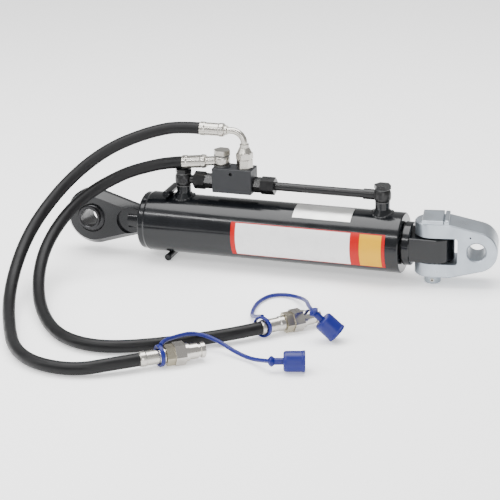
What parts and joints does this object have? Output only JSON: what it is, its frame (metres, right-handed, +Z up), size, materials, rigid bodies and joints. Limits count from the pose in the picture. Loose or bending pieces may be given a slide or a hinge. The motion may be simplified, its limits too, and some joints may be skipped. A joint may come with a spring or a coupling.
{
  "type": "tractor top link",
  "caption": "Hydraulic top link: cylinder with a ball eye at one end, a swivelling fork at the other, a valve block on top and two hoses with quick couplers.",
  "frame": {"origin": "centre of the ball in the base eye", "axes": "+X along the cylinder from the eye to the fork, +Z up with the valve block on top, -Y the side on which the hoses lie"},
  "size_m": [0.6402, 0.4888, 0.206],
  "materials": {
    "barrel_paint": "gloss anthracite enamel, slightly orange-peeled",
    "black_fitting": "black oxide and lacquer, semi-gloss",
    "block_finish": "satin dark grey phosphate",
    "bonded_seal": "steel ring with bonded rubber lip",
    "zinc": "bright zinc plate",
    "blue_zinc": "blue-white zinc plate, satin",
    "ball_steel": "turned steel, black oxide and oil",
    "chrome_rod": "hard chrome, ground",
    "inner_steel": "machined steel",
    "bronze": "sintered bronze",
    "seal_rubber": "polyurethane and nitrile seals",
    "guide_resin": "phenolic guide strip",
    "hose_rubber": "black hydraulic hose cover, smooth with a light sheen",
    "blue_cap": "royal blue soft vinyl"
  },
  "bodies": {
    "barrel": {"banjo_base": "black_fitting", "banjo_bolts": "black_fitting", "banjo_rod": "black_fitting", "banjo_washers": "bonded_seal", "base_cap": "barrel_paint", "block_adapters": "black_fitting", "check_seats": "inner_steel", "check_springs": "inner_steel", "coupler_body_1": "zinc", "coupler_body_2": "zinc", "coupler_nuts": "zinc", "coupler_spring_1": "inner_steel", "coupler_spring_2": "inner_steel", "coupler_tails": "zinc", "cutting_rings": "inner_steel", "cylinder_tube": "barrel_paint", "dust_cap_1": "blue_cap", "dust_cap_2": "blue_cap", "elbow_adapter": "zinc", "elbow_tube": "zinc", "eye_housing": "barrel_paint", "gland": "barrel_paint", "gland_guide_ring": "guide_resin", "gland_oring": "seal_rubber", "hanger_bars": "barrel_paint", "hose_1": "hose_rubber", "hose_2": "hose_rubber", "hose_banjo": "zinc", "hose_banjo_bolt": "zinc", "hose_banjo_washers": "bonded_seal", "hose_ferrule_1": "zinc", "hose_ferrule_2": "zinc", "pipe_base": "black_fitting", "pipe_rod": "black_fitting", "port_bosses": "barrel_paint", "rod_seal": "seal_rubber", "swivel_nut": "zinc", "tether_1": "blue_cap", "tether_2": "blue_cap", "tether_loops": "blue_cap", "tube_nuts": "black_fitting", "valve_block": "block_finish", "wiper_seal": "seal_rubber"},
    "ball": {"eye_ball": "ball_steel"},
    "rod": {"piston": "inner_steel", "piston_seal": "seal_rubber", "piston_guide_bands": "guide_resin", "piston_nut": "inner_steel", "piston_rod": "chrome_rod", "rod_end": "barrel_paint", "pin_bush": "bronze"},
    "fork": {"fork": "blue_zinc", "fork_pin": "blue_zinc", "roll_pin": "zinc"},
    "pilot_piston_body": {"pilot_piston": "inner_steel"},
    "check_poppet_base_body": {"check_poppet_base": "inner_steel"},
    "check_poppet_rod_body": {"check_poppet_rod": "inner_steel"},
    "coupler_poppet_1_body": {"coupler_poppet_1": "inner_steel"},
    "coupler_poppet_2_body": {"coupler_poppet_2": "inner_steel"}
  },
  "joints": [
    {"name": "rod_slide", "type": "slide", "parent": "barrel", "child": "rod", "axis": [1, 0, 0], "range_m": [0, 0.22]},
    {"name": "fork_swivel", "type": "hinge", "parent": "rod", "child": "fork", "pos_m": [0.5026, 0, 0], "axis": [0, 0, 1], "range_deg": [-94.5, 75.5]},
    {"name": "ball_tilt", "type": "hinge", "parent": "barrel", "child": "ball", "pos_m": [0, 0, 0], "axis": [1, 0, 0], "range_deg": [-4, 20]},
    {"name": "pilot_slide", "type": "slide", "parent": "barrel", "child": "pilot_piston_body", "axis": [1, 0, 0], "range_m": [-0.0012, 0.0012]},
    {"name": "check_lift_base", "type": "slide", "parent": "barrel", "child": "check_poppet_base_body", "axis": [-1, 0, 0], "range_m": [0, 0.0025], "stiffness_N_per_m": 1500, "deforming": ["check_springs"]},
    {"name": "check_lift_rod", "type": "slide", "parent": "barrel", "child": "check_poppet_rod_body", "axis": [1, 0, 0], "range_m": [0, 0.0025], "stiffness_N_per_m": 1500},
    {"name": "coupler_push_1", "type": "slide", "parent": "barrel", "child": "coupler_poppet_1_body", "axis": [-0.788, -0.6157, 0], "range_m": [0, 0.005], "stiffness_N_per_m": 1200, "deforming": ["coupler_spring_1"]},
    {"name": "coupler_push_2", "type": "slide", "parent": "barrel", "child": "coupler_poppet_2_body", "axis": [-0.6947, -0.7193, 0], "range_m": [0, 0.005], "stiffness_N_per_m": 1200, "deforming": ["coupler_spring_2"]}
  ]
}
